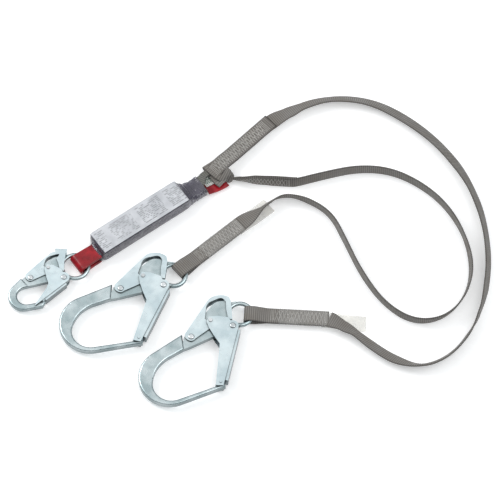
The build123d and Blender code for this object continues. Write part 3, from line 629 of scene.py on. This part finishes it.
def block_seams(strip, start, stop, side, cover, step=5.5 * MM, reach=8.6 * MM):
    """The seams of a sewn block on one face: crossing zigzags, and bars across its ends."""
    seams = [(strip, side, cover, zigzag(start, stop, reach, step, phase)) for phase in (1, -1)]
    for bar in range(END_BARS):
        for place in (stop + (2 + 2.2 * bar) * MM, start - (2 + 2.2 * bar) * MM):
            seams.append((strip, side, cover, [(place, -reach), (place, reach)]))
    return seams


# ---------------------------------------------------------------- free legs

LEG_HEIGHT = 12.5 * MM

# The sewn blocks at the junction, in millimetres. A leg's own strap begins on its block: each point of its
# lead is so far back from the block's end and so high, and side is how far it stands off there, in strap
# thicknesses. Skip is the start of its route that is left out, and reach is how far the join is softened.
BLOCKS = {
    "leg_a": dict(start=(-50.0, 134.7), angle=45.1, length=116.0, lead=[(36, 13.2), (20, 12.4), (8, 11.6)],
                  side=0.0, skip=12, reach=26),
    "leg_b": dict(start=(-27.0, 117.6), angle=-3.8, length=99.3, lead=[(12, 12.5), (4, 12.5)],
                  side=0.5, skip=8, reach=10),
}

LEG_ROUTES = {
    "leg_a": [
        (32.4, 217.3), (72, 244), (128, 260), (190, 253), (246, 220), (293, 178), (332, 124), (357, 62),
        (368, -8), (364, -74), (346, -136), (311, -186), (264, -208), (220, -193), (184, -167), (152, -140),
        (120.8, -125.0),
    ],
    "leg_b": [
        (72.7, 110.9), (118, 124), (168, 135), (217, 131), (262, 108), (300, 74), (329, 25), (343, -35),
        (332, -86), (299, -124), (252, -131), (207, -101), (171, -47), (146, 11), (125, 56), (89, 81),
        (50, 91), (19, 68), (-13.9, 39.4),
    ],
}

# How far each leg leans to the right of its run from standing on edge: (share of its length, degrees).
LEG_LEANS = {
    "leg_a": [(0.0, 90), (0.035, 66), (0.065, 50), (0.11, 44), (0.15, 46), (0.235, 51), (0.36, 43),
              (0.44, 30), (0.535, 20), (0.61, 15), (0.67, 0), (0.72, -20), (0.81, -31), (0.87, -54),
              (0.91, -52), (0.945, -46), (0.97, -62), (1.0, -90)],
    "leg_b": [(0.0, -2), (0.18, 3), (0.33, 0), (0.42, -12), (0.5, -16), (0.6, -5), (0.7, 2), (0.78, 3),
              (0.86, -8), (0.9, -17), (0.945, -27), (1.0, -90)],
}


def ground(x, y, z=0.0):
    """A point of the layout in millimetres, in the frame in metres."""
    return np.array([x * MM + LAYOUT_ZERO.x, y * MM + LAYOUT_ZERO.y, z])


def nurbs_line(name, points):
    """The points of one open NURBS spline with these control points."""
    curve = bpy.data.curves.new(name, "CURVE")
    curve.dimensions = "3D"
    curve.resolution_u = 24
    spline = curve.splines.new("NURBS")
    spline.points.add(len(points) - 1)
    for control, point in zip(spline.points, points):
        control.co = (*point, 1.0)
    spline.order_u = 3
    spline.use_endpoint_u = True
    holder = bpy.data.objects.new(name, curve)
    mesh = bpy.data.meshes.new_from_object(holder)
    line = np.array([vertex.co for vertex in mesh.vertices], float)
    bpy.data.objects.remove(holder)
    bpy.data.meshes.remove(mesh)
    return line


def led_from_block(name, line):
    """A leg's line led back along the ply of its sewn block that it goes on from."""
    block = BLOCKS[name]
    along = polar(block["angle"])
    end = ground(*block["start"]) + along * block["length"] * MM
    lean = math.radians(LEG_LEANS[name][0][1])
    beside = (np.cross(along, UP) * math.cos(lean) - UP * math.sin(lean)) * WEB_THICK * block["side"]
    lead = [end - along * back * MM + UP * height * MM + beside for back, height in block["lead"]]
    return softened([*lead, *line[int(block["skip"] * MM / RIB_STEP):]], RIB_STEP, block["reach"] * MM)


def leg_strip(name):
    """A leg's strap on its smooth line, leaning and turning flat towards its sewn ends."""
    route = [ground(x, y, LEG_HEIGHT) for x, y in LEG_ROUTES[name]]
    line = resampled(nurbs_line(f"{name}_route", route), RIB_STEP)
    share = lengths_along(line) / lengths_along(line)[-1]
    lean = np.radians(eased(LEG_LEANS[name], share))
    resting = WEB_WIDTH / 2 * np.cos(lean) + WEB_THICK / 2 * np.abs(np.sin(lean))
    first = LEG_HEIGHT - WEB_THICK / 2 if name == "leg_a" else LEG_HEIGHT
    last = eye_of(name)[2] + WEB_THICK / 2
    held = eased([(0.0, 1.0), (0.07, 0.0), (0.9, 0.0), (1.0, 1.0)], share)
    line[:, 2] = resting * (1 - held) + np.where(share < 0.5, first, last) * held
    joined = led_from_block(name, line)
    free = lengths_along(line)[-1]
    extra = lengths_along(joined)[-1] - free
    share = np.clip((lengths_along(joined) - extra) / free, 0.0, 1.0)
    line = joined
    lean = np.radians(eased(LEG_LEANS[name], share))
    right = unit(np.cross(unit(np.gradient(line, axis=0)), UP))
    across = np.cos(lean)[:, None] * UP + np.sin(lean)[:, None] * right
    return Strip(line, across)


def make_leg(name):
    """One free leg of webbing, as a flat strap."""
    strip = leg_strip(name)
    piece = strip.mesh(f"{name}_strap", "grey_webbing", "grey_webbing")
    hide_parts(f"{name}_webbing")


# ---------------------------------------------------------------- hook ends of the legs

HOOK_LOOP_ANGLES = {"leg_a": -3.4, "leg_b": 40.7}
HOOK_BLOCK_END = 136 * MM
EYE_POCKET = 5.9 * MM  # from the hook's middle plane to the middle of the strap round its eye


def eye_of(hook):
    """The middle of a hook's eye."""
    return np.array(JOINTS[f"{hook}_hook_swivel"]["pos_m"])


def fold_points(centre, radius, straight, samples=14):
    """A fold seen from the side: the lower ply, the half ring and the upper ply, as (along, up)."""
    points = [(straight, -radius)]
    for part in range(samples + 1):
        angle = -math.pi / 2 - math.pi * part / samples
        points.append((centre + radius * math.cos(angle), radius * math.sin(angle)))
    return points + [(straight, radius)]


def make_hook_end(name):
    """The strap through the hook's eye, sewn back on itself, with its thread."""
    middle, along = eye_of(name), polar(HOOK_LOOP_ANGLES[name])
    across = np.cross(UP, along)
    ring = fold_points(12.8 * MM, EYE_POCKET, 23 * MM)
    half = WEB_THICK / 2
    side = [(HOOK_BLOCK_END, -half), (42 * MM, -half), *ring, (42 * MM, half),
            (HOOK_BLOCK_END + 0.5 * MM, half)]
    line = softened([middle + along * a + UP * h for a, h in side], RIB_STEP, 9 * MM)
    strip = Strip(line, -across)
    piece = strip.mesh(f"{name}_eye_strap", "grey_webbing", "grey_webbing")
    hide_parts(f"{name}_hook_loop")
    between = Strip([middle + along * a for a in (0.0, 0.2)], across)
    seams = []
    for face in (1, -1):
        seams += block_seams(between, 54 * MM, HOOK_BLOCK_END - 8 * MM, face, SEAM_HEIGHT)
    thread = sew(f"{name}_hook_thread", seams)
    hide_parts(f"{name}_hook_stitching")


def make_clear_sleeve(name):
    """The clear sleeve over the sewn block, with its lower side running on as a flap under the strap."""
    middle, along = eye_of(name), polar(HOOK_LOOP_ANGLES[name])
    across = np.cross(UP, along)
    start, mouth, stop = 60 * MM, 134 * MM, 194 * MM
    wall = 0.4 * MM
    rings, inner = [], []
    for place in np.linspace(start, mouth, 60):
        wave = 0.25 * MM * math.sin(place / MM * 0.31) + 0.15 * MM * math.sin(place / MM * 0.83)
        for target, less in ((rings, 0.0), (inner, wall)):
            section = rounded_section(27.4 * MM + wave - 2 * less, 6.8 * MM + wave - 2 * less, 2.2 * MM)
            target.append([middle + along * place + across * x + UP * y for x, y in section])
    tube = loft(f"{name}_clear_tube", np.array(rings), "clear_tube", np.array(inner))
    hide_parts(f"{name}_clear_sleeve")
    drop = [(mouth - 8 * MM, -3.3 * MM), (mouth + 4 * MM, -3.6 * MM), (mouth + 25 * MM, -8.5 * MM),
            (stop, -10.4 * MM)]
    line = softened([middle + along * a + UP * h for a, h in drop], 1 * MM, 16 * MM)
    Strip(line, across, 26.6 * MM, 0.8 * MM).mesh(f"{name}_clear_flap", "clear_sleeve", "clear_sleeve", 0.0)


# ---------------------------------------------------------------- shock pack

label_low, label_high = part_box("pack_label")
PACK_CENTRE = np.array([(label_low.x + label_high.x) / 2, (label_low.y + label_high.y) / 2, 0.0])
PACK_ANGLE = 35.4
PACK_ALONG = polar(PACK_ANGLE)
PACK_ACROSS = np.cross(UP, PACK_ALONG)
PACK_HEIGHT = 28 * MM
LOOP_WIDTH = 26 * MM


def pack_point(along, across, up):
    """A point in the pack's own directions, given in millimetres from its middle on the floor."""
    return PACK_CENTRE + (PACK_ALONG * along + PACK_ACROSS * across + UP * up) * MM


def make_cover():
    """The clear shrink film: tight on the box, drawn in to the red sleeve and over the leg-end loop."""
    # along, width, height, middle height, middle across, corner, wrinkle
    stations = [
        (-87, 30.5, 18.4, 9.9, -4.6, 7, 0.5), (-83.5, 32, 19.5, 10.4, -4, 7, 0.7),
        (-81, 38.5, 25, 13.2, -1.5, 6, 0.4), (-79, 41.6, 27.8, 14, 0, 3.5, 0.12),
        (-74, 42, 28, 14, 0, 2.6, 0.1), (0, 42, 28, 14, 0, 2.6, 0.12), (74, 42, 28, 14, 0, 2.6, 0.12),
        (79, 41, 27.4, 13.8, -0.2, 4, 0.3), (83, 37, 23.5, 12.4, -2.0, 5, 0.9),
        (90, 34.5, 19, 11.2, -3.4, 6, 1.3), (98, 33.5, 17, 10.8, -4, 6, 1.2),
        (106, 33, 17.5, 11.0, -4, 6, 1.2), (112.6, 33.5, 19, 11.6, -4, 6, 0.8),
    ]
    table = np.array(stations, float)
    first, last, straight = table[0, 0], table[-1, 0], 72
    places = np.unique(np.concatenate([
        np.linspace(first, -straight, 26),
        np.linspace(-straight, straight, 90),
        np.linspace(straight, last, 56),
    ]))
    values = [eased(table[:, [0, column]], places) for column in range(1, 7)]
    wall = 0.5
    rings, inner = [], []
    for place, width, height, middle, shift, corner, wrinkle in zip(places, *values):
        for target, less in ((rings, 0.0), (inner, wall)):
            section = rounded_section(width - 2 * less, height - 2 * less, corner, 14)
            ring = []
            for x, y in section:
                spot = Vector((place * 0.16, x * 0.11, y * 0.13))
                crease = noise.noise(spot * 1.6) + 0.6 * noise.noise(spot * 3.7)
                pull = 1 + wrinkle * crease * 2 / max(width, height) - (0.0 if wrinkle < 0.3 else 0.012)
                ring.append(pack_point(place, shift + x * pull, max(0.05 + less, middle + y * pull)))
            target.append(ring)
    cover = loft("pack_film", np.array(rings), "clear_cover", np.array(inner))
    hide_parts("pack_cover")


def make_tear_webbing():
    """The tear webbing, folded to and fro under the film."""
    plies, reach, low, high = 10, 72.5, 2.6, 25.0
    pitch = (high - low) / (plies - 1)
    points = []
    for ply in range(plies):
        side = 1 if ply % 2 == 0 else -1
        height = low + ply * pitch
        points += [pack_point(-side * reach, 0, height), pack_point(side * reach, 0, height)]
        if ply < plies - 1:
            points.append(pack_point(side * (reach + pitch / 2), 0, height + pitch / 2))
    line = softened(points, 0.6 * MM, 2.4 * MM)
    strip = Strip(line, PACK_ACROSS, 38 * MM, 2.1 * MM)
    piece = strip.mesh("tear_webbing", "tear_webbing", "tear_webbing", 0.0)
    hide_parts("pack_tear_webbing")


def make_label():
    """The label on the film's top, its long edges turned down a little."""
    rows = np.linspace(-79.6, 78.8, 120)
    places = np.array([-19.9, -19.5, -18.6, -16, -12, -8, -4, 0, 4, 8, 12, 16, 18.6, 19.5, 19.9])
    turn_down = np.array([0.75, 0.4, 0.12] + [0.0] * 9 + [0.12, 0.4, 0.75])
    rings, coords = [], []
    for row in rows:
        end_drop = 0.5 * max(0.0, (abs(row) - 77.2) / 2) ** 2
        top, bottom = [], []
        for place, drop in zip(places, turn_down):
            swell = 0.12 * noise.noise(Vector((row * 0.06, place * 0.1, 3.0)))
            height = PACK_HEIGHT / MM + 0.42 - drop - end_drop + swell
            top.append(pack_point(row, place, height))
            bottom.append(pack_point(row, place, height - 0.22))
        rings.append(top + bottom[::-1])
        coords += [(row * MM, place * MM, 0.0) for place in [*places, *places[::-1]]]
    piece = loft("pack_label_sheet", np.array(rings), "label", coords=np.array(coords))
    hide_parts("pack_label")


def make_snap_end():
    """The pack's snap-end loop of webbing and the red sleeve round it."""
    middle = eye_of("snap")
    centre, radius = 9.3 * MM, 6.7 * MM

    def carried(side):
        return [middle + PACK_ALONG * a + UP * h for a, h in side]

    strap = [(48 * MM, -1.6 * MM), (42 * MM, -3 * MM), *fold_points(centre, radius, 37 * MM),
             (42 * MM, 3 * MM), (48 * MM, 1.6 * MM)]
    line = softened(carried(strap), 0.8 * MM, 5 * MM)
    loop = Strip(line, PACK_ACROSS, LOOP_WIDTH)
    piece = loop.mesh("snap_loop_strap", "loop_webbing", "loop_webbing", 0.0)
    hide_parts("snap_end_loop")
    sleeve_line = softened(carried(fold_points(centre, radius, 41 * MM)), 0.8 * MM, 2 * MM)
    sleeve = Strip(sleeve_line, PACK_ACROSS)
    rings, inner = [], []
    for index, along in enumerate(sleeve.along):
        crumple = 0.35 * noise.noise(Vector((along / MM * 0.12, 1.0, 0.0)))
        width = 30.2 - 2.6 * min(1.0, abs(2 * along / sleeve.along[-1] - 1)) + crumple
        for target, width, height in ((rings, width, 4.5 + crumple), (inner, 27.0, 2.5)):
            section = rounded_section(width * MM, height * MM, 2.0 * MM if target is rings else 0.9 * MM)
            ring = []
            for x, y in section:
                dent = 0.0
                if target is rings:
                    dent = 0.4 * MM * noise.noise(Vector((along / MM * 0.16, x / MM * 0.12, y / MM * 0.4)))
                ring.append(sleeve.line[index] + sleeve.across[index] * x + sleeve.normal[index] * (y + dent))
            target.append(ring)
    red = loft("red_loop_sleeve", np.array(rings), "red_vinyl", np.array(inner))
    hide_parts("red_sleeve")


# ---------------------------------------------------------------- junction of pack and legs


def make_leg_end_loop():
    """The pack's leg-end loop, with its white lining and red wear pad."""
    # along the pack, across it, height, and the share of the width that is left where the ply is bunched
    side = [(82, -4, 12.6, 1), (103, -3, 12.6, 1), (114, 2, 13.2, 0.7), (124, 7.5, 13.6, 0.42),
            (136, 8.5, 13.0, 0.4), (148, 2, 12.6, 0.8), (155, -4, 12.6, 1), (158.5, -4, 11.6, 1),
            (160, -4, 7.6, 1), (158.5, -4, 3.6, 1), (155, -4, 2.6, 1), (126, -4, 2.6, 1), (114, -4, 8.0, 1),
            (104, -4, 9.9, 1), (82, -4, 9.9, 1)]
    points = np.array([pack_point(*stop[:3]) for stop in side])
    line = softened(points, RIB_STEP, 5 * MM)
    bunched = [(place, stop[3]) for place, stop in zip(lengths_along(points), side)]
    loop = Strip(line, PACK_ACROSS, LOOP_WIDTH, gather=eased(bunched, lengths_along(line)))
    piece = loop.mesh("pack_loop_strap", "loop_webbing", "loop_webbing")
    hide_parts("leg_end_loop")
    pad_side = [(117, -8, 7.6), (126, -9, 5.0), (136, -11, 4.8), (146, -12, 4.9), (150, -12, 5.6)]
    pad_line = softened([pack_point(*point) for point in pad_side], 1 * MM, 6 * MM)
    pad = Strip(pad_line, PACK_ACROSS, 29 * MM, 1.7 * MM).mesh("red_wear_pad", "red_vinyl", "red_vinyl", 0.0)
    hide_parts("wear_pad")
    lining_side = [(119, 1, 8.4), (127, 1, 6.4), (138, 0, 6.1), (153, -1, 6.2)]
    lining_line = softened([pack_point(*point) for point in lining_side], 1 * MM, 6 * MM)
    lining = Strip(lining_line, PACK_ACROSS, 22 * MM, 0.9 * MM)
    piece = lining.mesh("white_lining", "lining", "lining", 0.0)
    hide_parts("loop_lining")
    stop = float(lining.along[-1]) - 2 * MM
    row = zigzag(3 * MM, stop, 1.8 * MM, 2.2 * MM)
    seams = []
    for shift in (-5 * MM, 0.0, 5 * MM):
        seams.append((lining, 1, 0.5 * MM, [(along, across + shift) for along, across in row]))
    sew("lining_thread", seams, "green_thread")


def make_block_a():
    """Leg A's sewn block: two plies lying flat, coming down from the junction."""
    block = BLOCKS["leg_a"]
    along, across = polar(block["angle"]), polar(block["angle"] + 90)
    start = ground(*block["start"])
    rise = [(-9, 13.6), (1, 17.8), (13, 18.5), (30, 15.8), (116.3, 12.5)]
    line = softened([start + along * a * MM + UP * h * MM for a, h in rise], RIB_STEP, 14 * MM)
    middle = Strip(line, across)
    half = WEB_THICK / 2
    upper = Strip(middle.beside(half), across)
    # Painted shadow: a dark strip over the upper ply's cut end.
    paint_end_shadow("leg_a_pack_end_shadow", upper)
    piece = upper.mesh("leg_a_pack_strap", "grey_webbing", "grey_webbing")
    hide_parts("leg_a_pack_block")
    under = middle.beside(-half)[: -int(block["lead"][0][0] * MM / RIB_STEP)]
    Strip(under, across).mesh("leg_a_pack_tail", "grey_webbing", "grey_webbing")
    seams = []
    for face in (1, -1):
        seams += block_seams(middle, 8 * MM, 108 * MM, face, SEAM_HEIGHT, 4.2 * MM, 9.6 * MM)
        seams.append((middle, face, SEAM_HEIGHT, zigzag(8 * MM, 108 * MM, 4.8 * MM, 4.2 * MM)))
    thread = sew("leg_a_pack_thread", seams)
    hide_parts("leg_a_pack_stitching")


def make_block_b():
    """Leg B's sewn block: two plies standing on edge."""
    block = BLOCKS["leg_b"]
    along = polar(block["angle"])
    start = ground(*block["start"], LEG_HEIGHT)
    stop = block["length"] * MM
    line = resampled([start, start + along * stop], RIB_STEP)
    leans = [(0.0, 28), (0.12, 20), (0.4, 2), (0.7, -3), (1.0, -2)]
    lean = np.radians(eased(leans, lengths_along(line) / stop))[:, None]
    across = UP * np.cos(lean) + np.cross(along, UP) * np.sin(lean)
    middle = Strip(line, across)
    half = WEB_THICK / 2
    kept = len(line) - int(block["lead"][0][0] * MM / RIB_STEP)
    front = Strip(middle.beside(half)[:kept], across[:kept])
    piece = front.mesh("leg_b_pack_strap", "grey_webbing", "grey_webbing")
    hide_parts("leg_b_pack_block")
    behind = Strip(middle.beside(-half), across)
    # Painted shadow: a dark strip over the back ply's cut end.
    paint_end_shadow("leg_b_pack_end_shadow", behind)
    behind.mesh("leg_b_pack_tail", "grey_webbing", "grey_webbing")
    seams = []
    for face in (1, -1):
        seams += block_seams(middle, 12 * MM, 82 * MM, face, SEAM_HEIGHT)
    thread = sew("leg_b_pack_thread", seams)
    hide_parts("leg_b_pack_stitching")


def make_junction():
    """The legs' common webbing: up from leg B's block over the loop's upper ply, and folded back under it."""
    # along the pack, across it, height, and how far the strap is turned from flat, degrees
    stops = [
        (160.0, -23.0, 12.5, 88), (157.0, -19.5, 13.2, 66), (152.5, -13.5, 15.2, 30), (148.5, -5.0, 15.9, 6),
        (146.0, 5.0, 15.6, 0), (144.5, 14.5, 15.3, 0), (144.2, 18.6, 14.6, 0), (144.0, 19.8, 12.8, 0),
        (144.0, 18.6, 10.9, 0), (144.0, 14.0, 10.0, 0), (144.0, 0.0, 9.8, 0), (144.5, -13.0, 9.8, 0),
        (146.0, -19.0, 10.2, 0),
    ]
    points = np.array([pack_point(*stop[:3]) for stop in stops])
    line = softened(points, RIB_STEP, 5 * MM)
    along = lengths_along(points)
    turned = eased([(place, stop[3]) for place, stop in zip(along, stops)], lengths_along(line))
    tangent = unit(np.gradient(line, axis=0))
    flat = np.cross(tangent, np.cross(PACK_ALONG, tangent))
    normal = np.cross(tangent, unit(flat))
    angle = np.radians(turned)[:, None]
    across = unit(flat) * np.cos(angle) - normal * np.sin(angle)
    strip = Strip(line, across)
    piece = strip.mesh("junction_strap", "grey_webbing", "grey_webbing")
    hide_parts("junction_wrap")


# ---------------------------------------------------------------- hooks


def finish_hooks():
    """Zinc plating on the hooks' own CAD pieces."""
    looks = {"hook_body": "zinc_forging", "hook_gate": "zinc_plate", "lock_lever": "zinc_plate",
             "rivet": "rivet_steel", "lock_studs": "rivet_steel", "spring": "spring_steel"}
    for name, node in frame["nodes"].items():
        for ending, look in looks.items():
            if name.endswith(ending):
                node.data.materials.clear()
                node.data.materials.append(FINISHES[look])


def make_floor():
    """A pale floor with a faint paper grain."""
    reach = 6.0
    mesh = bpy.data.meshes.new("floor")
    corners = [(-reach, -reach, 0), (reach, -reach, 0), (reach, reach, 0), (-reach, reach, 0)]
    mesh.from_pydata(corners, [], [(0, 1, 2, 3)])
    mesh.materials.append(floor_finish())
    floor = bpy.data.objects.new("floor", mesh)
    bpy.context.scene.collection.objects.link(floor)


make_stage()
make_floor()
for leg in LEG_ROUTES:
    make_leg(leg)
for leg in LEG_ROUTES:
    make_hook_end(leg)
    make_clear_sleeve(leg)
make_cover()
make_tear_webbing()
make_label()
make_snap_end()
make_leg_end_loop()
make_block_a()
make_block_b()
make_junction()
finish_hooks()
